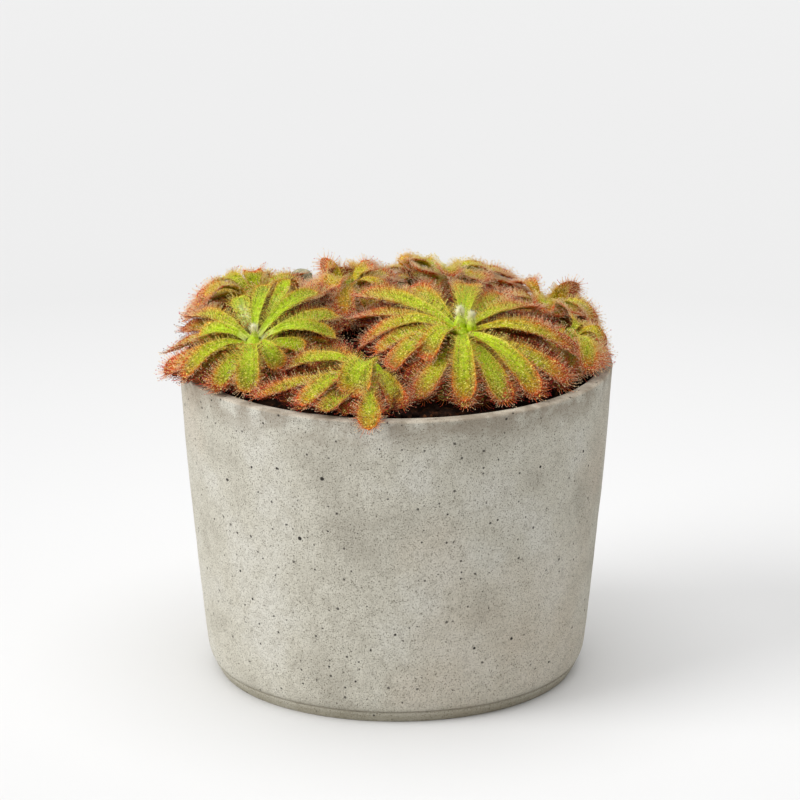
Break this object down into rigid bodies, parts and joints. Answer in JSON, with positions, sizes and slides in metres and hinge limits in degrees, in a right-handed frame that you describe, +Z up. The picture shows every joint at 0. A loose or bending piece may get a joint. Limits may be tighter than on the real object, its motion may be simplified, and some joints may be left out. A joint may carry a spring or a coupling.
{
  "type": "potted sundew plant",
  "caption": "Clump of spoon-leaved sundew rosettes with tentacled leaf margins, growing in dark peat in a small tapered cast concrete pot with a rounded lower corner.",
  "frame": {"origin": "centre of the flat foot of the pot, on the surface that it stands on", "axes": "+Z up out of the pot, -Y towards the front view, +X to the right seen from the front"},
  "size_m": [0.1157, 0.1154, 0.1026],
  "materials": {
    "concrete": "matt cast concrete, fine sand grain with scattered small pores",
    "peat": "dark damp peaty soil, matt and crumbly",
    "leaf": "soft lime green leaf tissue turning orange red at margins and tips, with glistening red tentacles"
  },
  "bodies": {
    "root": {"pot": "concrete", "soil": "peat", "rosette_left": "leaf", "rosette_right": "leaf", "rosette_front": "leaf", "rosette_back_left": "leaf", "rosette_middle": "leaf", "rosette_back": "leaf", "rosette_right_back": "leaf", "rosette_far_right": "leaf"}
  },
  "joints": []
}
